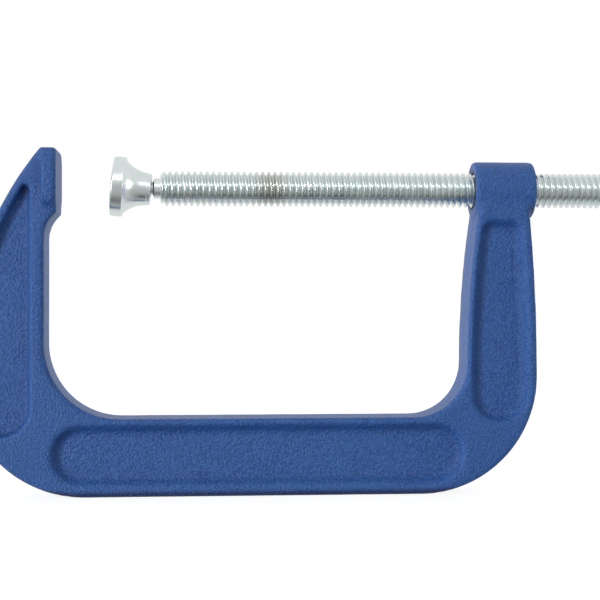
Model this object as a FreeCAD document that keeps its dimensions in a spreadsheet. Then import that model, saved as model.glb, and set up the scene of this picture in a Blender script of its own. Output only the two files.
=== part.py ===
"""C clamp, 6 in opening: cast frame, right-hand clamping screw, swivel shoe and sliding tommy bar.

Millimetres. X runs along the screw from the anvil to the handle, Z points up out of the throat and
Y is the thickness of the frame. The origin is on the anvil face, on the screw's axis.
"""
import FreeCAD, Part
import Sketcher
import os
import re

# Driving sizes. Each one is a cell of the sheet, and every feature is bound to those cells.
SIZES = {
    # screw thread: 9/16 in, ten turns to the inch
    "pitch": 2.54,
    "thread_od": 14.3,
    "thread_depth": 1.55,
    "groove_floor": 0.4,
    "flank_angle": 28,
    "radial_fit": 0.3,
    "flank_fit": 0.26,
    # screw blank and its head
    "thread_start": 41.2,
    "thread_length": 194.8,
    "relief_width": 3.4,
    "relief_depth": 0.1,
    "head_od": 18,
    "head_length": 22,
    "head_dome": 3,
    "head_dome_radius": 5,
    "bar_fit": 0.4,
    # ball nose of the screw
    "ball_od": 9.2,
    "stem_od": 5.4,
    "nose_od": 8.3,
    "shoulder_gap": 0.8,
    "shoulder_slope": 0.5,
    "ball_centre": 32.1,
    # swivel shoe
    "shoe_od": 24.4,
    "shoe_disc": 4.9,
    "shoe_face": 10.6,
    "shoe_mouth": 5.2,
    "shoe_rim_od": 12.8,
    "shoe_flare": 13,
    "shoe_back_step": 1,
    "shoe_edge": 0.4,
    "mouth_od": 7.8,
    "socket_fit": 0.2,
    "shoe_tilt": 5.4,
    # tommy bar and its end knobs
    "bar_od": 7,
    "bar_between_knobs": 94,
    "bar_seat": 6.5,
    "bar_edge": 0.6,
    "knob_face_od": 10,
    "knob_length": 9,
    "knob_radius": 8,
    "knob_stop_gap": 0.1,
    # frame: overall
    "opening": 170.6,
    "throat_depth": 93.7,
    "spine_height": 31.9,
    "frame_thickness": 22,
    "rim_bevel": 1.1,
    # frame: anvil leg
    "face_above": 15.8,
    "face_below": 10.6,
    "tip_width": 6.8,
    "tip_round": 1.4,
    "heel_radius": 13,
    "heel_depth": 21,
    "anvil_setback": 4.9,
    "anvil_leg_width": 32.6,
    "leg_back_radius": 135.5,
    "leg_back_start": 70,
    "throat_anvil_radius": 30,
    "foot_anvil_radius": 48.5,
    "anvil_width": 28,
    "anvil_block": 6.2,
    "anvil_block_below": 9.5,
    "anvil_corner": 7,
    "anvil_bevel": 1,
    "anvil_taper": 45,
    # frame: screw leg and boss
    "screw_leg_setback": 3.7,
    "screw_leg_width": 29.5,
    "throat_screw_radius": 22,
    "foot_screw_radius": 48.3,
    "boss_length": 25.4,
    "boss_od": 24,
    "boss_round": 1,
    "leg_top": 1,
    "neck_inner_inset": 2.4,
    "neck_outer_inset": 3.6,
    "bore_bevel": 1.6,
    "drill_overrun": 1,
    "tap_lead_turns": 1,
    # frame: recessed panels in both sides
    "panel_depth": 3.4,
    "panel_wall": 3,
    "wall_foot": 0.02,
    "anvil_wall": 1.4,
    "spine_rim_top": 2.5,
    "spine_rim_bottom": 4.8,
    "spine_panel_start": 2.9,
    "spine_panel_end": 0.8,
    "anvil_rim_inner": 5.7,
    "anvil_rim_outer": 3.4,
    "anvil_panel_tip": 0.5,
    "anvil_panel_below": 7.3,
    "screw_rim_inner": 1.8,
    "screw_rim_outer": 3.7,
    "screw_panel_top": 15.6,
    "screw_panel_corner": 2.6,
    "screw_panel_below": 2.8,
}

# Sizes that follow from others: the radii that taper the screw leg, upright at its foot, to the neck.
DERIVED = {
    "inner_taper": "neck_inner_inset + screw_leg_setback",
    "outer_taper": "screw_leg_width - screw_leg_setback - boss_length + neck_outer_inset",
    "inner_rise": "throat_depth - throat_screw_radius - leg_top",
    "outer_rise": "throat_depth + spine_height - foot_screw_radius - leg_top",
    "leg_inner_radius": "(inner_rise ^ 2 + inner_taper ^ 2) / (2 * inner_taper)",
    "leg_outer_radius": "(outer_rise ^ 2 + outer_taper ^ 2) / (2 * outer_taper)",
}

# How near two places are when they count as the same, in millimetres.
SAME_POINT = 1e-6
SAME_LEVEL = 1e-3
SAME_PANEL = 0.01

doc = FreeCAD.newDocument("c_clamp")
sheet = doc.addObject("Spreadsheet::Sheet", "Sizes")
formulas = {alias: f"={text}" for alias, text in DERIVED.items()}
for row, (alias, size) in enumerate({**SIZES, **formulas}.items(), start=1):
    sheet.set(f"A{row}", alias)
    sheet.set(f"B{row}", str(size))
    sheet.setAlias(f"B{row}", alias)
doc.recompute()


def cells(text):
    """An expression on the sheet's cells, from plain words such as 'opening + boss_length'."""
    known = SIZES.keys() | DERIVED.keys()
    return re.sub(r"[a-z]\w+", lambda word: f"Sizes.{word[0]}" if word[0] in known else word[0], text)


def number(text):
    """The present value of such an expression."""
    return float(sheet.evalExpression(cells(text)))


def bind(feature, **sizes):
    """Bind a feature's properties to expressions on the sheet."""
    for name, text in sizes.items():
        feature.setExpression(name, cells(text))


def new_body(label, **place):
    """An empty body, placed by expressions for x, y and z."""
    body = doc.addObject("PartDesign::Body", label)
    body.Label = label
    for axis, text in place.items():
        body.setExpression(f"Placement.Base.{axis}", cells(text))
    return body


def datum(body, role):
    """One of the body's own origin planes or axes."""
    return next(item for item in body.Origin.OriginFeatures if item.Role == role)


def new_sketch(body, name, plane, lift="0"):
    """An empty sketch on an origin plane of the body, lifted along the plane's normal."""
    sketch = body.newObject("Sketcher::SketchObject", name)
    sketch.AttachmentSupport = [(datum(body, plane), "")]
    sketch.MapMode = "FlatFace"
    sketch.setExpression("AttachmentOffset.Base.z", cells(lift))
    return sketch


def pin(sketch, curve, end, across, along):
    """Fix one point of a sketch at a place given by two expressions."""
    for kind, text in (("DistanceX", across), ("DistanceY", along)):
        index = sketch.addConstraint(Sketcher.Constraint(kind, -1, 1, curve, end, number(text)))
        sketch.setExpression(f"Constraints[{index}]", cells(text))


def arc_between(start, end, radius, turn):
    """The minor arc from start to end; turn is +1 anticlockwise and -1 clockwise."""
    chord = end - start
    middle = (start + end) / 2
    side = FreeCAD.Vector(-chord.y, chord.x, 0).normalize() * turn
    reach = max(radius ** 2 - (chord.Length / 2) ** 2, 0) ** 0.5
    centre = middle + side * reach
    bulge = centre - side * radius
    return Part.Arc(start, bulge, end)


def outline(sketch, corners):
    """A closed outline. Each corner is x, y and, for an arc to the next one, its radius and turn."""
    places = [FreeCAD.Vector(number(corner[0]), number(corner[1]), 0) for corner in corners]
    curves = []
    for corner, start, end in zip(corners, places, places[1:] + places[:1]):
        if len(corner) == 2:
            shape = Part.LineSegment(start, end)
        else:
            shape = arc_between(start, end, number(corner[2]), corner[3])
        curves.append(sketch.addGeometry(shape, False))
    ends = []
    for curve, start in zip(curves, places):
        first = sketch.getPoint(curve, 1)
        ends.append((1, 2) if first.distanceToPoint(start) < SAME_POINT else (2, 1))
    for this in range(len(curves)):
        following = (this + 1) % len(curves)
        sketch.addConstraint(Sketcher.Constraint(
            "Coincident", curves[this], ends[this][1], curves[following], ends[following][0]))
    for corner, curve, (start, _) in zip(corners, curves, ends):
        pin(sketch, curve, start, corner[0], corner[1])
        if len(corner) > 2:
            index = sketch.addConstraint(Sketcher.Constraint("Radius", curve, number(corner[2])))
            sketch.setExpression(f"Constraints[{index}]", cells(corner[2]))


def circle(sketch, across, along, radius):
    """A circle centred by two expressions."""
    centre = FreeCAD.Vector(number(across), number(along), 0)
    curve = sketch.addGeometry(Part.Circle(centre, FreeCAD.Vector(0, 0, 1), number(radius)), False)
    pin(sketch, curve, 3, across, along)
    index = sketch.addConstraint(Sketcher.Constraint("Radius", curve, number(radius)))
    sketch.setExpression(f"Constraints[{index}]", cells(radius))


def revolve(body, sketch, axis):
    """Turn the sketch once round an origin axis."""
    turned = body.newObject("PartDesign::Revolution", f"{sketch.Name}_turned")
    turned.Profile = sketch
    turned.ReferenceAxis = (datum(body, axis), [""])
    turned.Angle = 360
    return turned


def pad(body, sketch, length, both_ways=False):
    """Extrude the sketch along its normal, or half each way."""
    solid = body.newObject("PartDesign::Pad", f"{sketch.Name}_pad")
    solid.Profile = sketch
    solid.Midplane = both_ways
    bind(solid, Length=length)
    return solid


def pocket(body, sketch, length, both_ways=False, reverse=False):
    """Cut the sketch into the body, against its normal unless reversed."""
    cut = body.newObject("PartDesign::Pocket", f"{sketch.Name}_pocket")
    cut.Profile = sketch
    cut.Midplane = both_ways
    cut.Reversed = reverse
    bind(cut, Length=length)
    return cut


def dress(body, kind, name, base, picks, **sizes):
    """A Fillet or Chamfer on the edges of the base feature that the test picks."""
    doc.recompute()
    edges = [f"Edge{i}" for i, edge in enumerate(base.Shape.Edges, start=1) if picks(edge)]
    feature = body.newObject(f"PartDesign::{kind}", name)
    feature.Base = (base, edges)
    if "Size2" in sizes:
        feature.ChamferType = "Two distances"
    bind(feature, **sizes)
    doc.recompute()
    return feature


def flat_at(edge, axis, place):
    """True if the whole edge lies in the plane where the axis has this value."""
    box = edge.BoundBox
    low, high = getattr(box, f"{axis}Min"), getattr(box, f"{axis}Max")
    return abs(low - place) < SAME_LEVEL and abs(high - place) < SAME_LEVEL


def thread_groove(body, name, start, floor, mouth, floor_width, turns_length):
    """Cut a right-hand helical groove about X: a trapezoid, narrow at its floor radius."""
    slope = "tan(flank_angle)"
    flare = f"abs(({mouth}) - ({floor})) * {slope}"
    sketch = new_sketch(body, name, "XZ_Plane")
    outline(sketch, [
        (f"{start} - ({floor_width}) / 2", floor),
        (f"{start} + ({floor_width}) / 2", floor),
        (f"{start} + ({floor_width}) / 2 + {flare}", mouth),
        (f"{start} - ({floor_width}) / 2 - {flare}", mouth),
    ])
    helix = body.newObject("PartDesign::SubtractiveHelix", f"{name}_helix")
    helix.Profile = sketch
    helix.ReferenceAxis = (datum(body, "X_Axis"), [""])
    helix.Mode = 0
    bind(helix, Pitch="pitch", Height=turns_length)
    return helix


# The thread's own geometry, shared by the screw and the tapped boss.
OD_RADIUS = "thread_od / 2"
ROOT_RADIUS = "thread_od / 2 - thread_depth"
BORE_RADIUS = f"{ROOT_RADIUS} + radial_fit"
TAP_RADIUS = f"{OD_RADIUS} + radial_fit"
CREST_FLAT = "pitch - groove_floor - 2 * thread_depth * tan(flank_angle)"
TAP_FLOOR = f"{CREST_FLAT} - 2 * radial_fit * tan(flank_angle) + 2 * flank_fit"
BOSS_END = "opening + boss_length"
HEAD_START = "thread_start + thread_length + relief_width"
HEAD_MIDDLE = f"{HEAD_START} + head_length / 2"


def make_screw():
    """Threaded rod with a plain head, cross-drilled for the bar. Its origin is where the thread starts."""
    body = new_body("clamp_screw", x="thread_start")
    blank = new_sketch(body, "screw_blank", "XZ_Plane")
    head_end = "thread_length + relief_width + head_length"
    relief = f"{ROOT_RADIUS} - relief_depth"
    outline(blank, [
        ("0", "0"),
        ("0", ROOT_RADIUS),
        ("thread_depth", OD_RADIUS),
        ("thread_length - thread_depth - relief_depth", OD_RADIUS),
        ("thread_length", relief),
        ("thread_length + relief_width", relief),
        ("thread_length + relief_width", "head_od / 2 - bar_edge"),
        ("thread_length + relief_width + bar_edge", "head_od / 2"),
        (f"{head_end} - head_dome", "head_od / 2", "head_dome_radius", -1),
        (head_end, "head_od / 2 - head_dome"),
        (head_end, "0"),
    ])
    revolve(body, blank, "X_Axis")
    thread_groove(body, "screw_groove", "-pitch", ROOT_RADIUS, f"{OD_RADIUS} + radial_fit",
                  "groove_floor", "thread_length + pitch + relief_width / 2")
    hole = new_sketch(body, "bar_hole", "XY_Plane")
    circle(hole, f"{head_end} - head_length / 2", "0", "bar_od / 2 + bar_fit")
    pocket(body, hole, "head_od + 2 * drill_overrun", both_ways=True)
    return body


def make_ball_nose():
    """Turned nose of the screw: a ball, a thin stem and a plain collar. Its origin is the ball's centre."""
    body = new_body("ball_nose", x="ball_centre")
    profile = new_sketch(body, "nose_profile", "XZ_Plane")
    shoulder = "shoe_mouth + shoulder_gap"
    outline(profile, [
        ("-ball_od / 2", "0", "ball_od / 2", -1),
        ("0", "ball_od / 2", "ball_od / 2", -1),
        ("sqrt(ball_od ^ 2 - stem_od ^ 2) / 2", "stem_od / 2"),
        (shoulder, "stem_od / 2"),
        (f"{shoulder} + shoulder_slope", "nose_od / 2"),
        ("thread_start - ball_centre", "nose_od / 2"),
        ("thread_start - ball_centre", "0"),
    ])
    revolve(body, profile, "X_Axis")
    return body


def make_shoe():
    """Swivel shoe: a disc with a flared neck, spun closed round the ball. Its origin is the ball's centre."""
    body = new_body("swivel_shoe", x="ball_centre")
    body.Placement.Rotation = FreeCAD.Rotation(FreeCAD.Vector(0, 1, 0), 1)
    body.setExpression("Placement.Rotation.Angle", cells("shoe_tilt"))
    profile = new_sketch(body, "shoe_profile", "XZ_Plane")
    socket = "ball_od / 2 + socket_fit"
    outline(profile, [
        ("-shoe_face", "0"),
        ("-shoe_face", "shoe_od / 2 - shoe_edge"),
        ("-shoe_face + shoe_edge", "shoe_od / 2"),
        ("-shoe_face + shoe_disc - shoe_edge", "shoe_od / 2"),
        ("-shoe_face + shoe_disc", "shoe_od / 2 - shoe_back_step", "shoe_flare", 1),
        ("shoe_mouth", "shoe_rim_od / 2"),
        ("shoe_mouth", "mouth_od / 2 + shoe_edge"),
        ("shoe_mouth - shoe_edge", "mouth_od / 2"),
        (f"sqrt(({socket}) ^ 2 - (mouth_od / 2) ^ 2)", "mouth_od / 2", socket, 1),
        ("0", socket, socket, 1),
        (f"-({socket})", "0"),
    ])
    revolve(body, profile, "X_Axis")
    return body


def make_bar():
    """Straight bar that slides in the screw's head. Its origin is the bar's middle."""
    body = new_body("tommy_bar", x=HEAD_MIDDLE, z="head_od / 2 + knob_stop_gap - bar_between_knobs / 2")
    section = new_sketch(body, "bar_section", "XY_Plane")
    circle(section, "0", "0", "bar_od / 2")
    rod = pad(body, section, "bar_between_knobs + 2 * bar_seat", both_ways=True)
    dress(body, "Chamfer", "bar_bevel", rod, lambda edge: edge.Closed, Size="bar_edge")
    return body


def make_knob(label, way):
    """Pressed-on cap for one end of the bar. Its origin is on the face that stops against the head."""
    level = f"head_od / 2 + knob_stop_gap - bar_between_knobs * {0 if way > 0 else 1}"
    body = new_body(label, x=HEAD_MIDDLE, z=level)
    body.Placement.Rotation = FreeCAD.Rotation(FreeCAD.Vector(1, 0, 0), 0 if way > 0 else 180)
    profile = new_sketch(body, f"{label}_profile", "XZ_Plane")
    outline(profile, [
        ("bar_od / 2", "0"),
        ("knob_face_od / 2", "0", "knob_radius", 1),
        ("knob_face_od / 2", "knob_length"),
        ("0", "knob_length"),
        ("0", "bar_seat"),
        ("bar_od / 2 - bar_edge", "bar_seat"),
        ("bar_od / 2", "bar_seat - bar_edge"),
    ])
    revolve(body, profile, "Z_Axis")
    return body


def frame_outline(sketch):
    """The C of the frame in the XZ plane, anticlockwise from the lower edge of the anvil face."""
    leg_back = "-(anvil_setback + anvil_leg_width)"
    leg_front = "opening - screw_leg_setback + screw_leg_width"
    leg_inner = "opening - screw_leg_setback"
    foot = "-(throat_depth + spine_height)"
    outline(sketch, [
        ("0", "-face_below"),
        ("0", "face_above - tip_round", "tip_round", 1),
        ("-tip_round", "face_above"),
        ("-tip_width", "face_above", "leg_back_radius", 1),
        (leg_back, "-leg_back_start"),
        (leg_back, f"{foot} + foot_anvil_radius", "foot_anvil_radius", 1),
        (f"{leg_back} + foot_anvil_radius", foot),
        (f"{leg_front} - foot_screw_radius", foot, "foot_screw_radius", 1),
        (leg_front, f"{foot} + foot_screw_radius", "leg_outer_radius", 1),
        (f"{BOSS_END} - neck_outer_inset", "-leg_top"),
        ("opening + neck_inner_inset", "-leg_top", "leg_inner_radius", 1),
        (leg_inner, "-(throat_depth - throat_screw_radius)", "throat_screw_radius", -1),
        (f"{leg_inner} - throat_screw_radius", "-throat_depth"),
        ("-anvil_setback + throat_anvil_radius", "-throat_depth", "throat_anvil_radius", -1),
        ("-anvil_setback", "-(throat_depth - throat_anvil_radius)"),
        ("-anvil_setback", "-heel_depth", "heel_radius", -1),
    ])


def spine_floor(sketch):
    """Floor of the long panel in the spine, with half-round ends."""
    top = "-(throat_depth + spine_rim_top + panel_wall)"
    bottom = "-(throat_depth + spine_height - spine_rim_bottom - panel_wall)"
    round_end = f"(({top}) - ({bottom})) / 2"
    middle = f"(({top}) + ({bottom})) / 2"
    left = "-spine_panel_start + panel_wall"
    right = "opening - screw_leg_setback - spine_panel_end - panel_wall"
    outline(sketch, [
        (f"{left} + {round_end}", top, round_end, 1),
        (left, middle, round_end, 1),
        (f"{left} + {round_end}", bottom),
        (f"{right} - {round_end}", bottom, round_end, 1),
        (right, middle, round_end, 1),
        (f"{right} - {round_end}", top),
    ])


def touch_point(centre, radius, small_centre, small_radius):
    """Where a small circle touches a large one from inside, as expressions for x and z."""
    share = f"{radius} / ({radius} - {small_radius})"
    return [f"{large} + ({small} - {large}) * {share}" for large, small in zip(centre, small_centre)]


def inside(radius, small_radius, offset):
    """How far the small circle's centre lies from the large one's, across the given offset."""
    return f"sqrt(({radius} - {small_radius}) ^ 2 - ({offset}) ^ 2)"


def anvil_leg_floor(sketch):
    """Floor of the panel in the anvil leg: round at the foot, following the leg's back to a narrow tip."""
    inner = "(-(anvil_setback + anvil_rim_inner + anvil_wall))"
    outer = "(-(anvil_setback + anvil_leg_width - anvil_rim_outer - anvil_wall))"
    radius = "(leg_back_radius - anvil_rim_outer - anvil_wall)"
    centre = (f"({outer} + {radius})", "(-leg_back_start)")
    tip_x = f"({inner} - anvil_panel_tip)"
    tip_z = f"({centre[1]} + {inside(radius, 'anvil_panel_tip', f'{centre[0]} - {tip_x}')})"
    touch = touch_point(centre, radius, (tip_x, tip_z), "anvil_panel_tip")
    round_end = f"(({inner} - {outer}) / 2)"
    end = f"(anvil_wall + {round_end} - throat_depth - anvil_panel_below)"
    outline(sketch, [
        (touch[0], touch[1], radius, 1),
        (outer, centre[1]),
        (outer, end, round_end, 1),
        (f"{outer} + {round_end}", f"{end} - {round_end}", round_end, 1),
        (inner, end),
        (inner, tip_z, "anvil_panel_tip", 1),
    ])


def screw_leg_floor(sketch):
    """Floor of the panel in the screw leg: round at the foot, narrowing with the leg up to the boss."""
    left = "(opening - screw_leg_setback + screw_rim_inner + panel_wall)"
    right = "(opening - screw_leg_setback + screw_leg_width - screw_rim_outer - panel_wall)"
    left_radius = "(leg_inner_radius - screw_rim_inner - panel_wall)"
    right_radius = "(leg_outer_radius - screw_rim_outer - panel_wall)"
    left_centre = (f"({left} + {left_radius})", "(throat_screw_radius - throat_depth)")
    right_centre = (f"({right} - {right_radius})", "(foot_screw_radius - throat_depth - spine_height)")
    corner = "screw_panel_corner"
    corner_z = f"(-screw_panel_top - {corner})"
    left_x = f"({left_centre[0]} - {inside(left_radius, corner, f'{corner_z} - {left_centre[1]}')})"
    right_x = f"({right_centre[0]} + {inside(right_radius, corner, f'{corner_z} - {right_centre[1]}')})"
    left_touch = touch_point(left_centre, left_radius, (left_x, corner_z), corner)
    right_touch = touch_point(right_centre, right_radius, (right_x, corner_z), corner)
    round_end = f"(({right} - {left}) / 2)"
    end = f"(panel_wall + {round_end} - throat_depth - screw_panel_below)"
    outline(sketch, [
        (left_touch[0], left_touch[1], left_radius, 1),
        (left, left_centre[1]),
        (left, end, round_end, 1),
        (f"{left} + {round_end}", f"{end} - {round_end}", round_end, 1),
        (right, end),
        (right, right_centre[1], right_radius, 1),
        (right_touch[0], right_touch[1], corner, 1),
        (right_x, "-screw_panel_top"),
        (left_x, "-screw_panel_top", corner, 1),
    ])


def make_frame():
    """Cast C frame: bevelled rims, three recessed panels a side, an anvil pad and a tapped boss."""
    body = new_body("frame", x="0")
    half = number("frame_thickness / 2")
    casting = new_sketch(body, "c_outline", "XZ_Plane")
    frame_outline(casting)
    base = pad(body, casting, "frame_thickness", both_ways=True)
    for side, level in (("front", -half), ("back", half)):
        base = dress(body, "Chamfer", f"rim_bevels_{side}", base,
                     lambda edge: flat_at(edge, "Y", level), Size="rim_bevel")
    for place, draw, wall in PANELS:
        floors = []
        for side, way in (("front", 1), ("back", -1)):
            floor = new_sketch(body, f"{place}_{side}", "XZ_Plane", lift=f"{way} * frame_thickness / 2")
            draw(floor)
            base = pocket(body, floor, "panel_depth", reverse=way < 0)
            floors.append(floor)
        base = panel_walls(body, place, base, floors, wall)
    add_anvil(body)
    add_boss(body)
    return body


# The recessed panels: name, how the floor is drawn, and how wide the sloping wall is.
PANELS = (
    ("spine", spine_floor, "panel_wall"),
    ("anvil_leg", anvil_leg_floor, "anvil_wall"),
    ("screw_leg", screw_leg_floor, "panel_wall"),
)


def panel_walls(body, place, base, floors, wall):
    """Slope the walls of one recess outwards to its rim, on both sides of the frame."""
    doc.recompute()
    boxes = [floor.Shape.BoundBox for floor in floors]
    half = number("frame_thickness / 2")

    def mouth(edge):
        box = edge.BoundBox
        level = flat_at(edge, "Y", half) or flat_at(edge, "Y", -half)
        return level and any(floor.XMin - SAME_PANEL <= box.XMin and box.XMax <= floor.XMax + SAME_PANEL
                             and floor.ZMin - SAME_PANEL <= box.ZMin and box.ZMax <= floor.ZMax + SAME_PANEL
                             for floor in boxes)

    return dress(body, "Chamfer", f"{place}_slopes", base, mouth, Size=wall, Size2="panel_depth - wall_foot")


def anvil_outline(sketch):
    """The anvil pad as the screw sees it: a rectangle with rounded corners."""
    side, top, low = "anvil_width / 2", "face_above", "-anvil_block_below"
    corner = "anvil_corner"
    outline(sketch, [
        (f"-{side} + {corner}", low),
        (f"{side} - {corner}", low, corner, 1),
        (side, f"{low} + {corner}"),
        (side, f"{top} - {corner}", corner, 1),
        (f"{side} - {corner}", top),
        (f"-{side} + {corner}", top, corner, 1),
        (f"-{side}", f"{top} - {corner}"),
        (f"-{side}", f"{low} + {corner}", corner, 1),
    ])


def add_anvil(body):
    """The anvil: a pad with rounded corners, wider than the leg, tapering at its working face."""
    section = new_sketch(body, "anvil_section", "YZ_Plane", lift="-anvil_block")
    anvil_outline(section)
    pad(body, section, "anvil_block - anvil_bevel")
    face_section = new_sketch(body, "anvil_face_section", "YZ_Plane", lift="-anvil_bevel")
    anvil_outline(face_section)
    face = pad(body, face_section, "anvil_bevel")
    bind(face, TaperAngle="-anvil_taper")


def add_boss(body):
    """The boss: a cylinder along the screw, bored, countersunk at both mouths and tapped right through."""
    ring = new_sketch(body, "boss_section", "YZ_Plane", lift="opening")
    circle(ring, "0", "0", "boss_od / 2")
    barrel = pad(body, ring, "boss_length")
    radius = number("boss_od / 2")
    left, right = number("opening"), number(BOSS_END)
    rounded = dress(body, "Fillet", "boss_rounding", barrel,
                    lambda edge: (flat_at(edge, "X", left) or flat_at(edge, "X", right))
                    and edge.BoundBox.ZMax > radius - SAME_LEVEL, Radius="boss_round")
    bore = new_sketch(body, "screw_bore", "YZ_Plane", lift="opening - drill_overrun")
    circle(bore, "0", "0", BORE_RADIUS)
    drilled = pocket(body, bore, "boss_length + 2 * drill_overrun", reverse=True)
    bore_radius = number(BORE_RADIUS)
    dress(body, "Chamfer", "bore_bevels", drilled,
          lambda edge: (flat_at(edge, "X", left) or flat_at(edge, "X", right))
          and abs(edge.BoundBox.ZMax - bore_radius) < SAME_LEVEL,
          Size="bore_bevel")
    start = "thread_start + pitch * (floor((opening - thread_start) / pitch) - tap_lead_turns - 1 / 2)"
    thread_groove(body, "tapping", start, TAP_RADIUS, f"{BORE_RADIUS} - radial_fit",
                  TAP_FLOOR, "boss_length + 2 * pitch * (tap_lead_turns + 1)")


make_frame()
make_screw()
make_ball_nose()
make_shoe()
make_bar()
make_knob("bar_knob_upper", 1)
make_knob("bar_knob_lower", -1)
doc.recompute()

for item in doc.Objects:
    if "Invalid" in item.State or "Error" in item.State:
        raise RuntimeError(f"{item.Label} failed: {item.State}")
bodies = [item for item in doc.Objects if item.TypeId == "PartDesign::Body"]
for body in bodies:
    if body.Shape.isNull() or not body.Shape.isValid():
        raise RuntimeError(f"{body.Label} has no valid shape")

os.makedirs("parts", exist_ok=True)
for body in bodies:
    body.Shape.exportStep(f"parts/{body.Label}.step")
    print(body.Label, len(body.Shape.Solids), "solid", round(body.Shape.Volume), "mm3")
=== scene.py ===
"""C clamp: a cast frame, its zinc-plated screw with a swivel shoe, and a sliding bar. Metres, Z up."""
import math

import bmesh
import bpy
from mathutils import Matrix, Vector, noise


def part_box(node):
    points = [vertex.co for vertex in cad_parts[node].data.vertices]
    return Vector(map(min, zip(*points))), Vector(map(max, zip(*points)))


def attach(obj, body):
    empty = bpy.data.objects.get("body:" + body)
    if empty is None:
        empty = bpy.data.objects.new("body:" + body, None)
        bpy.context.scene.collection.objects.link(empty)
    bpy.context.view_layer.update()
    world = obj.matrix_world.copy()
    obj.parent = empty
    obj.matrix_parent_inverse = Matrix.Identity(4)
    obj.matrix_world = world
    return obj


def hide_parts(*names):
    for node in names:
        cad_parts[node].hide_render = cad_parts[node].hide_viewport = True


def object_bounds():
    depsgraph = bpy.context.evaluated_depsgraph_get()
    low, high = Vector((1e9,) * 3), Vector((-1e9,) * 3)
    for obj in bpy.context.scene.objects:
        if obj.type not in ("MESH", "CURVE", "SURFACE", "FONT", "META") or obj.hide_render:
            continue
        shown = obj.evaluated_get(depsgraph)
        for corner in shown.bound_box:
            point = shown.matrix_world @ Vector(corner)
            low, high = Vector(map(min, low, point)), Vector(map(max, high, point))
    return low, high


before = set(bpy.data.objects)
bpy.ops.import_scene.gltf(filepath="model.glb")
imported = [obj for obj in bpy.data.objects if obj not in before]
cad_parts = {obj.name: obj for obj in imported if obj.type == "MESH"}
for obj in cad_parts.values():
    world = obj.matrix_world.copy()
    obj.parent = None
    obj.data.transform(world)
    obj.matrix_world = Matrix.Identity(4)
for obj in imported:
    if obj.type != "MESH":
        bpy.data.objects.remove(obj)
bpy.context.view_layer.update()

# ---------------------------------------------------------------- Cast frame
# The C of the clamp is one iron casting, dipped in blue enamel that has softened every edge and
# left a fine pebbled skin. Its boss is drilled, countersunk and tapped after the enamel.
MM = 0.001
OPENING = 170.6 * MM
BOSS_LENGTH = 25.4 * MM
VOXEL = 0.75 * MM
SOFTENING_PASSES = 5
CAST_WAVE = 9 * MM
CAST_WAVE_DEPTH = 0.1 * MM
PARTING_WIDTH = 0.9 * MM
PARTING_HEIGHT = 0.1 * MM
COUNTERSINK = 7.9 * MM
HOLE_PLUG = 10 * MM
PLUG_INSET = 0.4 * MM
# Dents in the front, each with its place, its size and its depth.
NICKS = (
    (Vector((164.6, -10.2, -76.6)) * MM, 2.4 * MM, 0.9 * MM),
    (Vector((126.5, -10.4, -94.5)) * MM, 1.8 * MM, 0.6 * MM),
)
# Sand grains of 0.2 to 0.4 mm shape the skin. They are drawn at 0.9 mm, because finer ones don't show.
SAND_GRAIN = 0.9 * MM
# How far the ambient occlusion looks for the painted shade in the enamel's corners and recesses.
PAINTED_SHADE_REACH = 3.5 * MM
FLANK_ANGLE = math.radians(28)
STEPS_PER_TURN = 64
STEPS_PER_PITCH = 12
WELD = 0.002 * MM
PITCH = 2.54 * MM
TAP_ROOT_RADIUS = 5.9 * MM
TAP_CREST_RADIUS = 7.45 * MM
TAP_GROOVE_FLOOR = 0.2 * MM


def colour(code):
    """Linear RGBA from an sRGB hex code."""
    parts = [int(code[i:i + 2], 16) / 255 for i in (1, 3, 5)]
    return (*[((p + 0.055) / 1.055) ** 2.4 if p > 0.04045 else p / 12.92 for p in parts], 1)


def add_node(tree, kind, inputs=(), **settings):
    """Add a node, set its properties, and fill or link its inputs by name or index."""
    node = tree.nodes.new(kind)
    for name, value in settings.items():
        setattr(node, name, value)
    for socket, value in dict(inputs).items():
        if isinstance(value, bpy.types.Node):
            value = value.outputs[0]
        if isinstance(value, bpy.types.NodeSocket):
            tree.links.new(value, node.inputs[socket])
        else:
            node.inputs[socket].default_value = value
    return node


def empty_material(name):
    """A material with an empty tree."""
    material = bpy.data.materials.new(name)
    material.use_nodes = True
    material.node_tree.nodes.clear()
    return material


def piece_from(name, bm, material, sharp_above=None):
    """A smooth-shaded object at the origin from a bmesh, with creases above an angle in degrees."""
    mesh = bpy.data.meshes.new(name)
    bm.to_mesh(mesh)
    bm.free()
    mesh.shade_smooth()
    if sharp_above:
        mesh.set_sharp_from_angle(angle=math.radians(sharp_above))
    mesh.materials.clear()
    mesh.materials.append(material)
    piece = bpy.data.objects.new(name, mesh)
    bpy.context.scene.collection.objects.link(piece)
    return piece


def turned(bm, profile, steps=64):
    """Add a body of revolution about X to a bmesh, from (x, radius) points; radius 0 makes a pole."""
    rings = []
    for x, radius in profile:
        if radius < 1e-9:
            rings.append([bm.verts.new((x, 0, 0))])
            continue
        angles = [2 * math.pi * i / steps for i in range(steps)]
        rings.append([bm.verts.new((x, -radius * math.sin(a), radius * math.cos(a))) for a in angles])
    for ring, following in zip(rings, rings[1:]):
        for i in range(steps):
            corners = []
            for vertex in (ring[i % len(ring)], ring[(i + 1) % len(ring)],
                           following[(i + 1) % len(following)], following[i % len(following)]):
                if vertex not in corners:
                    corners.append(vertex)
            if len(corners) > 2:
                bm.faces.new(corners)


def apply_modifier(piece, kind, **settings):
    """Run one modifier on a piece and keep its result as the piece's plain mesh."""
    modifier = piece.modifiers.new(kind.lower(), kind)
    for name, value in settings.items():
        setattr(modifier, name, value)
    result = bpy.data.meshes.new_from_object(piece.evaluated_get(bpy.context.evaluated_depsgraph_get()))
    piece.modifiers.remove(modifier)
    piece.data = result


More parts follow.
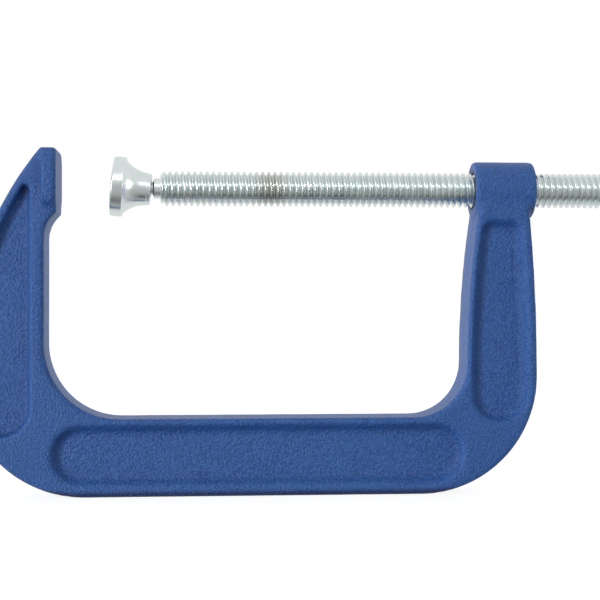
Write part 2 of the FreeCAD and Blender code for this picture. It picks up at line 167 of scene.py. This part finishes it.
def enamel():
    """Dipped enamel on sand-cast iron: a satin blue, pebbled and uneven, with painted shade darkening its
    corners and recesses.
    """
    material = empty_material("blue_enamel_on_cast_iron")
    tree = material.node_tree
    place = add_node(tree, "ShaderNodeTexCoord").outputs["Object"]
    patches = add_node(tree, "ShaderNodeTexNoise", {"Vector": place, "Scale": 1 / (14 * MM), "Detail": 3.0})
    pebble = add_node(tree, "ShaderNodeTexNoise", {"Vector": place, "Scale": 1 / SAND_GRAIN, "Detail": 2.0,
                                                   "Roughness": 0.6})
    tint = add_node(tree, "ShaderNodeMix", {0: patches, 6: colour("#103f84"), 7: colour("#2a5ca6")},
                    data_type="RGBA")
    fleck = add_node(tree, "ShaderNodeMapRange", {0: pebble, 1: 0.36, 2: 0.68, 3: 0.0, 4: 1.0})
    skin = add_node(tree, "ShaderNodeMix", {0: fleck, 6: tint.outputs[2], 7: colour("#3a6ab0")},
                    data_type="RGBA")
    # Painted shade: ambient occlusion darkens the base colour towards #082a62 in corners and recesses.
    shade_occlusion = add_node(tree, "ShaderNodeAmbientOcclusion", {"Distance": PAINTED_SHADE_REACH}, samples=8)
    painted_shade = add_node(tree, "ShaderNodeMapRange", {0: shade_occlusion.outputs["AO"], 1: 0.72, 2: 1.0, 3: 1.0, 4: 0.0})
    base = add_node(tree, "ShaderNodeMix", {0: painted_shade, 6: skin.outputs[2], 7: colour("#082a62")},
                    data_type="RGBA")
    gloss = add_node(tree, "ShaderNodeMapRange", {0: pebble, 1: 0.35, 2: 0.65, 3: 0.34, 4: 0.5})
    bump = add_node(tree, "ShaderNodeBump", {"Height": pebble, "Strength": 1.0, "Distance": 0.8 * MM})
    shader = add_node(tree, "ShaderNodeBsdfPrincipled", {
        "Base Color": base.outputs[2], "Roughness": gloss, "Normal": bump, "IOR": 1.5,
        "Specular IOR Level": 0.42})
    add_node(tree, "ShaderNodeOutputMaterial", {"Surface": shader})
    return material


def thread_tree():
    """Geometry Nodes for a right-hand thread about X with a run-out cone at each end."""
    tree = bpy.data.node_groups.new("rolled_thread", "GeometryNodeTree")
    for name, kind in (("Start", "Float"), ("Length", "Float"), ("Pitch", "Float"), ("Root Radius", "Float"),
                       ("Crest Radius", "Float"), ("Groove Floor", "Float"), ("Flank Angle", "Float"),
                       ("Steps per Turn", "Int"), ("Steps per Pitch", "Int"), ("Finish", "Material")):
        tree.interface.new_socket(name, in_out="INPUT", socket_type=f"NodeSocket{kind}")
    tree.interface.new_socket("Geometry", in_out="OUTPUT", socket_type="NodeSocketGeometry")
    sizes = add_node(tree, "NodeGroupInput").outputs

    def work(operation, *values):
        return add_node(tree, "ShaderNodeMath", dict(enumerate(values)), operation=operation).outputs[0]

    across = work("ADD", sizes["Steps per Pitch"], 1)
    turns = work("ADD", work("CEIL", work("DIVIDE", sizes["Length"], sizes["Pitch"])), 2)
    along = work("ADD", work("MULTIPLY", turns, sizes["Steps per Turn"]), 1)
    sheet = add_node(tree, "GeometryNodeMeshGrid", {"Vertices X": along, "Vertices Y": across})
    index = add_node(tree, "GeometryNodeInputIndex").outputs[0]
    turn = work("SUBTRACT", work("DIVIDE", work("FLOOR", work("DIVIDE", work("ADD", index, 0.5), across)),
                                 sizes["Steps per Turn"]), 1)
    share = work("DIVIDE", work("FLOORED_MODULO", index, across), sizes["Steps per Pitch"])
    share = work("SUBTRACT", share, 0.5)
    travel = work("MULTIPLY", work("ADD", turn, share), sizes["Pitch"])
    travel = work("MAXIMUM", work("MINIMUM", travel, sizes["Length"]), 0)
    from_groove = work("SUBTRACT", work("MULTIPLY", work("ABSOLUTE", share), sizes["Pitch"]),
                       work("MULTIPLY", sizes["Groove Floor"], 0.5))
    rise = work("MAXIMUM", work("DIVIDE", from_groove, work("TANGENT", sizes["Flank Angle"])), 0)
    radius = work("MINIMUM", work("ADD", sizes["Root Radius"], rise), sizes["Crest Radius"])
    for from_end in (travel, work("SUBTRACT", sizes["Length"], travel)):
        radius = work("MINIMUM", radius, work("ADD", sizes["Root Radius"], from_end))
    angle = work("MULTIPLY", turn, 2 * math.pi)
    place = add_node(tree, "ShaderNodeCombineXYZ", {
        "X": work("ADD", sizes["Start"], travel),
        "Y": work("MULTIPLY", radius, work("MULTIPLY", work("SINE", angle), -1)),
        "Z": work("MULTIPLY", radius, work("COSINE", angle))})
    wound = add_node(tree, "GeometryNodeSetPosition", {"Geometry": sheet.outputs[0], "Position": place})
    welded = add_node(tree, "GeometryNodeMergeByDistance", {"Geometry": wound, "Distance": WELD})
    real = add_node(tree, "GeometryNodeRealizeInstances", {"Geometry": welded})
    coated = add_node(tree, "GeometryNodeSetMaterial", {"Geometry": real, "Material": sizes["Finish"]})
    add_node(tree, "NodeGroupOutput", {"Geometry": coated})
    return tree


def threaded(tree, **sizes):
    """A bmesh of the thread, open at both ends; the sizes are the tree's named inputs."""
    carrier = bpy.data.objects.new("thread_blank", bpy.data.meshes.new("thread_blank"))
    bpy.context.scene.collection.objects.link(carrier)
    modifier = carrier.modifiers.new("thread", "NODES")
    modifier.node_group = tree
    for item in tree.interface.items_tree:
        if item.in_out == "INPUT":
            modifier[item.identifier] = sizes[item.name.lower().replace(" ", "_")]
    mesh = bpy.data.meshes.new_from_object(carrier.evaluated_get(bpy.context.evaluated_depsgraph_get()))
    bpy.data.objects.remove(carrier)
    bm = bmesh.new()
    bm.from_mesh(mesh)
    bmesh.ops.remove_doubles(bm, verts=bm.verts, dist=WELD)
    bmesh.ops.delete(bm, geom=[edge for edge in bm.edges if not edge.link_faces], context="EDGES")
    return bm


def close_end(bm, x):
    """Close the open ring of a thread at this x with a fan of triangles."""
    rim = [edge for edge in bm.edges if edge.is_boundary and abs(edge.verts[0].co.x - x) < 0.01 * MM]
    pole = bm.verts.new((x, 0, 0))
    for edge in rim:
        bm.faces.new((edge.verts[0], edge.verts[1], pole))


blue_enamel = enamel()
thread = thread_tree()

shell = bmesh.new()
shell.from_mesh(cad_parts["frame"].data)
bmesh.ops.remove_doubles(shell, verts=shell.verts, dist=0.001 * MM)
# The hole is plugged before the remesh, and tapped afresh after it.
plug_start = OPENING + PLUG_INSET
plug_end = OPENING + BOSS_LENGTH - PLUG_INSET
turned(shell, [(plug_start, 0), (plug_start, HOLE_PLUG), (plug_end, HOLE_PLUG), (plug_end, 0)])
bmesh.ops.recalc_face_normals(shell, faces=shell.faces)
cast_frame = piece_from("cast_frame", shell, blue_enamel)
apply_modifier(cast_frame, "REMESH", mode="VOXEL", voxel_size=VOXEL)

skin = bmesh.new()
skin.from_mesh(cast_frame.data)
for _ in range(SOFTENING_PASSES):
    bmesh.ops.smooth_vert(skin, verts=skin.verts, factor=0.5,
                          use_axis_x=True, use_axis_y=True, use_axis_z=True)
skin.normal_update()
for vertex in skin.verts:
    for place, size, depth in NICKS:
        away = (vertex.co - place).length / size
        if away < 1:
            vertex.co.y += depth * (1 - away ** 2)
    wave = 0.5 + 0.5 * noise.noise(vertex.co / CAST_WAVE)
    ridge = max(0, 1 - abs(vertex.co.y) / PARTING_WIDTH) * max(0, 1 - 3 * abs(vertex.normal.y))
    vertex.co -= vertex.normal * (CAST_WAVE_DEPTH * wave + PARTING_HEIGHT * (1 - ridge))
skin.to_mesh(cast_frame.data)
skin.free()

THREAD_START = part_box("clamp_screw")[0].x
tap_start = THREAD_START + PITCH * (math.floor((OPENING - THREAD_START) / PITCH) - 2)
tap_length = BOSS_LENGTH + 5 * PITCH
tap = threaded(thread, start=tap_start, length=tap_length, pitch=PITCH, root_radius=TAP_ROOT_RADIUS,
               crest_radius=TAP_CREST_RADIUS, groove_floor=TAP_GROOVE_FLOOR, flank_angle=FLANK_ANGLE,
               steps_per_turn=STEPS_PER_TURN, steps_per_pitch=STEPS_PER_PITCH, finish=blue_enamel)
close_end(tap, tap_start)
close_end(tap, tap_start + tap_length)
bmesh.ops.recalc_face_normals(tap, faces=tap.faces)
tap_cutter = piece_from("tap_cutter", tap, blue_enamel)
countersinks = bmesh.new()
for mouth, way in ((OPENING, 1), (OPENING + BOSS_LENGTH, -1)):
    turned(countersinks, [(mouth - way * MM, 0), (mouth - way * MM, COUNTERSINK + MM),
                          (mouth + way * COUNTERSINK, 0)])
bmesh.ops.recalc_face_normals(countersinks, faces=countersinks.faces)
sink_cutter = piece_from("sink_cutter", countersinks, blue_enamel)
for cutter in (tap_cutter, sink_cutter):
    apply_modifier(cast_frame, "BOOLEAN", object=cutter, operation="DIFFERENCE", solver="MANIFOLD")
    bpy.data.objects.remove(cutter)
cast_frame.data.shade_smooth()
cast_frame.data.set_sharp_from_angle(angle=math.radians(38))
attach(cast_frame, "frame")
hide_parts("frame")

# ------------------------------------------------------------- Clamping screw
# Steel rod with a rolled thread of ten turns to the inch, and a plain round head that is cross-drilled
# for the bar. It is zinc plated, so the crests are bright and the grooves hold dark reflections.
THREAD_LENGTH = 194.8 * MM
ROOT_RADIUS = 5.6 * MM
CREST_RADIUS = 7.15 * MM
GROOVE_FLOOR = 0.4 * MM
RELIEF = 3.4 * MM
HEAD_RADIUS = 9 * MM
HEAD_LENGTH = 22 * MM
HEAD_FACE_RADIUS = 6 * MM
BAR_RADIUS = 3.5 * MM
BAR_HOLE_RADIUS = 4 * MM
# A rusty-brown scuff on the thread: where its middle is along the screw, and how far it reaches.
STAIN_PLACE = 86 * MM
STAIN_REACH = 7 * MM


def soften(profile, steps=4):
    """Round the corners of a profile: each point is x, radius and, where it is rounded, its rounding."""
    places = [Vector(point[:2]) for point in profile]
    smooth = []
    for i, (point, place) in enumerate(zip(profile, places)):
        if len(point) < 3 or i in (0, len(profile) - 1):
            smooth.append(tuple(place))
            continue
        before, after = places[i - 1] - place, places[i + 1] - place
        half = before.angle(after) / 2
        reach = min(point[2] / math.tan(half), 0.48 * before.length, 0.48 * after.length)
        start, end = place + before.normalized() * reach, place + after.normalized() * reach
        for step in range(steps + 1):
            t = step / steps
            smooth.append(tuple(start * (1 - t) ** 2 + place * 2 * t * (1 - t) + end * t ** 2))
    return smooth


def arc(start, end, radius, turn, steps=12):
    """Points of the minor arc from start to end; turn is +1 anticlockwise and -1 clockwise."""
    start, end = Vector(start), Vector(end)
    chord = end - start
    side = Vector((-chord.y, chord.x)).normalized() * turn
    centre = (start + end) / 2 + side * math.sqrt(max(radius ** 2 - (chord.length / 2) ** 2, 0))
    first = start - centre
    sweep = first.angle_signed(end - centre)
    points = []
    for step in range(steps + 1):
        turnby = -sweep * step / steps
        points.append((centre.x + first.x * math.cos(turnby) - first.y * math.sin(turnby),
                       centre.y + first.x * math.sin(turnby) + first.y * math.cos(turnby)))
    return points


def zinc(name, rings, ring_depth, stain):
    """Bright zinc plating over worked steel: a grey metal with a trace of green, dulled in places."""
    material = empty_material(name)
    tree = material.node_tree
    place = add_node(tree, "ShaderNodeTexCoord").outputs["Object"]
    parts = add_node(tree, "ShaderNodeSeparateXYZ", {0: place})
    cloud = add_node(tree, "ShaderNodeTexNoise", {"Vector": place, "Scale": 1 / (6 * MM), "Detail": 4.0})
    fine = add_node(tree, "ShaderNodeTexNoise", {"Vector": place, "Scale": 1 / (0.5 * MM), "Detail": 2.0})
    turning = add_node(tree, "ShaderNodeTexNoise", {
        "W": parts.outputs["X"], "Scale": 1 / rings, "Detail": 1.0}, noise_dimensions="1D")
    tint = add_node(tree, "ShaderNodeMix", {0: cloud, 6: colour("#d0dada"), 7: colour("#e9efee")},
                    data_type="RGBA")
    off_centre = add_node(tree, "ShaderNodeMath", {0: parts.outputs["X"], 1: STAIN_PLACE},
                          operation="SUBTRACT")
    reach = add_node(tree, "ShaderNodeMath", {0: off_centre, 1: STAIN_REACH}, operation="DIVIDE")
    fade = add_node(tree, "ShaderNodeMath", {0: reach, 1: 2.0}, operation="POWER")
    band = add_node(tree, "ShaderNodeMapRange", {0: fade, 1: 0.0, 2: 1.0, 3: stain, 4: 0.0})
    blot = add_node(tree, "ShaderNodeMath", {0: band, 1: fine}, operation="MULTIPLY")
    base = add_node(tree, "ShaderNodeMix", {0: blot, 6: tint.outputs[2], 7: colour("#97794f")},
                    data_type="RGBA")
    dull = add_node(tree, "ShaderNodeMapRange", {0: cloud, 1: 0.3, 2: 0.7, 3: 0.2, 4: 0.34})
    height = add_node(tree, "ShaderNodeMath", {0: turning, 1: ring_depth, 2: fine}, operation="MULTIPLY_ADD")
    bump = add_node(tree, "ShaderNodeBump", {"Height": height, "Strength": 0.3, "Distance": 0.02 * MM})
    shader = add_node(tree, "ShaderNodeBsdfPrincipled", {
        "Base Color": base.outputs[2], "Metallic": 1.0, "Roughness": dull, "Normal": bump})
    add_node(tree, "ShaderNodeOutputMaterial", {"Surface": shader})
    return material


screw_zinc = zinc("bright_zinc_on_rolled_steel", rings=0.5 * MM, ring_depth=0.0, stain=0.45)
rod = threaded(thread, start=THREAD_START, length=THREAD_LENGTH, pitch=PITCH, root_radius=ROOT_RADIUS,
               crest_radius=CREST_RADIUS, groove_floor=GROOVE_FLOOR, flank_angle=FLANK_ANGLE,
               steps_per_turn=STEPS_PER_TURN, steps_per_pitch=STEPS_PER_PITCH, finish=screw_zinc)
close_end(rod, THREAD_START)
thread_end = THREAD_START + THREAD_LENGTH
head_start = thread_end + RELIEF
head_end = head_start + HEAD_LENGTH
turned(rod, soften([
    (thread_end, ROOT_RADIUS),
    (thread_end + 0.1 * MM, ROOT_RADIUS - 0.1 * MM),
    (head_start, ROOT_RADIUS - 0.1 * MM, 0.5 * MM),
    (head_start, HEAD_RADIUS, 0.7 * MM),
    (head_end - 3 * MM, HEAD_RADIUS, 0.5 * MM),
    *arc((head_end - 2.8 * MM, HEAD_RADIUS - 0.1 * MM), (head_end, HEAD_FACE_RADIUS), 5 * MM, -1)[1:],
    (head_end, 0)]))
bmesh.ops.remove_doubles(rod, verts=rod.verts, dist=WELD)
bmesh.ops.recalc_face_normals(rod, faces=rod.faces)
clamping_screw = piece_from("clamping_screw", rod, screw_zinc)
drill = bmesh.new()
turned(drill, [(-12 * MM, 0), (-12 * MM, 6 * MM), (-8.2 * MM, BAR_HOLE_RADIUS), (8.2 * MM, BAR_HOLE_RADIUS),
               (12 * MM, 6 * MM), (12 * MM, 0)])
bmesh.ops.transform(drill, verts=drill.verts, matrix=Matrix.Translation(((head_start + head_end) / 2, 0, 0))
                    @ Matrix.Rotation(math.pi / 2, 4, "Y"))
bmesh.ops.recalc_face_normals(drill, faces=drill.faces)
hole_cutter = piece_from("hole_cutter", drill, screw_zinc)
apply_modifier(clamping_screw, "BOOLEAN", object=hole_cutter, operation="DIFFERENCE", solver="MANIFOLD")
bpy.data.objects.remove(hole_cutter)
clamping_screw.data.shade_smooth()
clamping_screw.data.set_sharp_from_angle(angle=math.radians(40))
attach(clamping_screw, "screw")
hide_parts("clamp_screw")

# ------------------------------------------------------------------ Ball nose
# The turned end of the screw: a collar, a thin stem and the ball that the shoe is closed over.
BALL_CENTRE = 32.1 * MM
BALL_RADIUS = 4.6 * MM
STEM_RADIUS = 2.7 * MM
NOSE_RADIUS = 4.15 * MM

nose = bmesh.new()
ball_meets_stem = math.sqrt(BALL_RADIUS ** 2 - STEM_RADIUS ** 2)
collar = 6 * MM
turned(nose, [(BALL_CENTRE + x, r) for x, r in soften([
    *arc((-BALL_RADIUS, 0), (0, BALL_RADIUS), BALL_RADIUS, -1)[:-1],
    *arc((0, BALL_RADIUS), (ball_meets_stem, STEM_RADIUS), BALL_RADIUS, -1),
    (collar, STEM_RADIUS, 0.2 * MM),
    (collar + 0.5 * MM, NOSE_RADIUS, 0.3 * MM),
    (THREAD_START - BALL_CENTRE, NOSE_RADIUS),
    (THREAD_START - BALL_CENTRE, 0)])])
bmesh.ops.recalc_face_normals(nose, faces=nose.faces)
ball_end = piece_from("ball_end", nose, screw_zinc, sharp_above=40)
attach(ball_end, "nose")
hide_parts("ball_nose")

# ----------------------------------------------------------------- Swivel shoe
# Turned from bar: a disc with a flared neck whose rim is spun closed round the ball. Tool rings show
# on the neck. It hangs a few degrees out of square on the ball.
SHOE_TILT = 5.4
SHOE_RADIUS = 12.2 * MM
SHOE_FACE = 10.6 * MM
SHOE_DISC = 4.9 * MM
SHOE_MOUTH = 5.2 * MM
SHOE_RIM = 6.4 * MM
SHOE_FLARE = 13 * MM
MOUTH_RADIUS = 3.9 * MM
SOCKET_RADIUS = 4.8 * MM

shoe_zinc = zinc("bright_zinc_on_turned_steel", rings=0.35 * MM, ring_depth=3.0, stain=0.0)
shoe = bmesh.new()
socket_meets_mouth = math.sqrt(SOCKET_RADIUS ** 2 - MOUTH_RADIUS ** 2)
turned(shoe, soften([
    (-SHOE_FACE, 0),
    (-SHOE_FACE, SHOE_RADIUS, 0.7 * MM),
    (-SHOE_FACE + SHOE_DISC, SHOE_RADIUS, 0.5 * MM),
    *arc((-SHOE_FACE + SHOE_DISC, SHOE_RADIUS - 1 * MM), (SHOE_MOUTH - 1.6 * MM, SHOE_RIM + 0.25 * MM),
         SHOE_FLARE, 1),
    (SHOE_MOUTH - 1.4 * MM, SHOE_RIM, 0.2 * MM),
    (SHOE_MOUTH, SHOE_RIM, 0.9 * MM),
    (SHOE_MOUTH, MOUTH_RADIUS, 0.4 * MM),
    *arc((socket_meets_mouth, MOUTH_RADIUS), (0, SOCKET_RADIUS), SOCKET_RADIUS, 1)[:-1],
    *arc((0, SOCKET_RADIUS), (-SOCKET_RADIUS, 0), SOCKET_RADIUS, 1)]), steps=96)
bmesh.ops.transform(shoe, verts=shoe.verts, matrix=Matrix.Translation((BALL_CENTRE, 0, 0))
                    @ Matrix.Rotation(math.radians(SHOE_TILT), 4, "Y"))
bmesh.ops.recalc_face_normals(shoe, faces=shoe.faces)
pressure_shoe = piece_from("pressure_shoe", shoe, shoe_zinc, sharp_above=40)
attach(pressure_shoe, "shoe")
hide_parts("swivel_shoe")

# ------------------------------------------------------------- Bar and its caps
# A straight drawn bar slides in the screw's head. A barrel-shaped cap is pressed on each end so that
# it can't fall out.
KNOB_LENGTH = 9 * MM
KNOB_FACE_RADIUS = 5 * MM

bar_zinc = zinc("bright_zinc_on_drawn_steel", rings=0.8 * MM, ring_depth=0.5, stain=0.0)
low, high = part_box("tommy_bar")
bar_place = Matrix.Translation(((low.x + high.x) / 2, 0, 0)) @ Matrix.Rotation(-math.pi / 2, 4, "Y")
rod = bmesh.new()
turned(rod, soften([(low.z, 0), (low.z, BAR_RADIUS, 0.6 * MM), (high.z, BAR_RADIUS, 0.6 * MM), (high.z, 0)]))
bmesh.ops.transform(rod, verts=rod.verts, matrix=bar_place)
bmesh.ops.recalc_face_normals(rod, faces=rod.faces)
sliding_bar = piece_from("sliding_bar", rod, bar_zinc, sharp_above=40)
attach(sliding_bar, "bar")
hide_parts("tommy_bar")

for node, way in (("bar_knob_upper", 1), ("bar_knob_lower", -1)):
    low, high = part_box(node)
    base = low.z if way > 0 else high.z
    cap = bmesh.new()
    side = arc((0, KNOB_FACE_RADIUS), (KNOB_LENGTH, KNOB_FACE_RADIUS), 8 * MM, -1)
    turned(cap, [(base + way * x, r) for x, r in soften([
        (0, BAR_RADIUS), (0, KNOB_FACE_RADIUS, 0.4 * MM), *side[1:-1],
        (KNOB_LENGTH, KNOB_FACE_RADIUS, 0.9 * MM), (KNOB_LENGTH, 0)])])
    bmesh.ops.transform(cap, verts=cap.verts, matrix=bar_place)
    bmesh.ops.holes_fill(cap, edges=[edge for edge in cap.edges if edge.is_boundary])
    bmesh.ops.recalc_face_normals(cap, faces=cap.faces)
    bar_cap = piece_from(node.replace("bar_knob", "bar_cap"), cap, bar_zinc, sharp_above=40)
    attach(bar_cap, "bar")
    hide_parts(node)

# ------------------------------------------------------- Floor, light and camera
# A pale seamless table under broad soft light: bright above, dark below and in front, as in a studio
# with a white sweep behind the object.
FLOOR_REACH = 60.0
floor_mesh = bpy.data.meshes.new("studio_floor")
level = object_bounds()[0][2]
corners = ((-1, -1), (1, -1), (1, 1), (-1, 1))
floor_mesh.from_pydata([(FLOOR_REACH * x, FLOOR_REACH * y, level) for x, y in corners], [], [(0, 1, 2, 3)])
paper = empty_material("matt_white_paper")
shader = add_node(paper.node_tree, "ShaderNodeBsdfPrincipled", {
    "Base Color": (0.2, 0.2, 0.2, 1), "Roughness": 0.9,
    "Emission Color": (1, 1, 1, 1), "Emission Strength": 0.88})
add_node(paper.node_tree, "ShaderNodeOutputMaterial", {"Surface": shader})
floor_mesh.materials.append(paper)
studio_floor = bpy.data.objects.new("studio_floor", floor_mesh)
bpy.context.scene.collection.objects.link(studio_floor)
studio_floor.visible_glossy = False
studio_floor.visible_diffuse = False

# The studio round the clamp: dim in front, a bright sweep behind, and white where the camera sees it.
# Mirror reflections see it with a dark patch low in front and brighter cards above.
world = bpy.data.worlds.new("studio")
bpy.context.scene.world = world
world.use_nodes = True
world.node_tree.nodes.clear()
sky = world.node_tree
heading = add_node(sky, "ShaderNodeTexCoord").outputs["Generated"]
direction = add_node(sky, "ShaderNodeSeparateXYZ", {0: heading})
depth, height = direction.outputs["Y"], direction.outputs["Z"]
horizon = add_node(sky, "ShaderNodeMapRange", {0: height, 1: -0.3, 2: -0.02, 3: 0.0, 4: 1.0})
below = add_node(sky, "ShaderNodeMapRange", {0: depth, 1: -0.4, 2: 0.6, 3: 0.2, 4: 0.9})
front = add_node(sky, "ShaderNodeMapRange", {0: depth, 1: -0.3, 2: 0.85, 3: 0.16, 4: 1.02})
glow = add_node(sky, "ShaderNodeMix", {0: horizon, 2: below, 3: front}, data_type="FLOAT")
low_card = add_node(sky, "ShaderNodeMapRange", {0: height, 1: -0.85, 2: -0.55, 3: 0.12, 4: 0.5})
high_card = add_node(sky, "ShaderNodeMapRange", {0: height, 1: -0.1, 2: 0.6, 3: 0.0, 4: 0.4})
cards = add_node(sky, "ShaderNodeMath", {0: low_card, 1: high_card}, operation="ADD")
behind = add_node(sky, "ShaderNodeMapRange", {0: depth, 1: -0.4, 2: 0.05, 3: 0.0, 4: 1.0})
mirrored = add_node(sky, "ShaderNodeMix", {0: behind, 2: cards, 3: 0.9}, data_type="FLOAT")
rays = add_node(sky, "ShaderNodeLightPath")
seen = add_node(sky, "ShaderNodeMix", {
    0: rays.outputs["Is Glossy Ray"], 2: glow.outputs[0], 3: mirrored.outputs[0]}, data_type="FLOAT")
backdrop = add_node(sky, "ShaderNodeMix", {0: rays.outputs["Is Camera Ray"], 2: seen.outputs[0], 3: 1.0},
                    data_type="FLOAT")
light = add_node(sky, "ShaderNodeBackground", {"Color": backdrop.outputs[0], "Strength": 1.0})
add_node(sky, "ShaderNodeOutputWorld", {"Surface": light})

centre = Vector((0.0987, 0, -0.0458))
for name, place, size, power in (("left_softbox", (-2.5, -1.95, 0.05), (0.7, 0.8), 98),
                                 ("strip_light", (0.1, -1.0, 0.6), (1.3, 0.16), 2.5),
                                 ("right_softbox", (1.6, -0.6, 0.1), (0.5, 0.8), 3)):
    lamp = bpy.data.lights.new(name, "AREA")
    lamp.shape = "RECTANGLE"
    lamp.size, lamp.size_y = size
    lamp.energy = power
    holder = bpy.data.objects.new(name, lamp)
    holder.location = place
    holder.rotation_euler = (centre - Vector(place)).to_track_quat("-Z", "Y").to_euler()
    bpy.context.scene.collection.objects.link(holder)

SENSOR = 36
VIEW_TURN = -4.336
camera_data = bpy.data.cameras.new("camera")
camera_data.sensor_width = SENSOR
camera_data.lens = 79.6
camera = bpy.data.objects.new("camera", camera_data)
camera.location = (0.0571, -0.5484, -0.0458)
camera.rotation_euler = (math.radians(90), 0, math.radians(VIEW_TURN))
bpy.context.scene.collection.objects.link(camera)
bpy.context.scene.camera = camera
bpy.context.scene.view_settings.view_transform = "Standard"
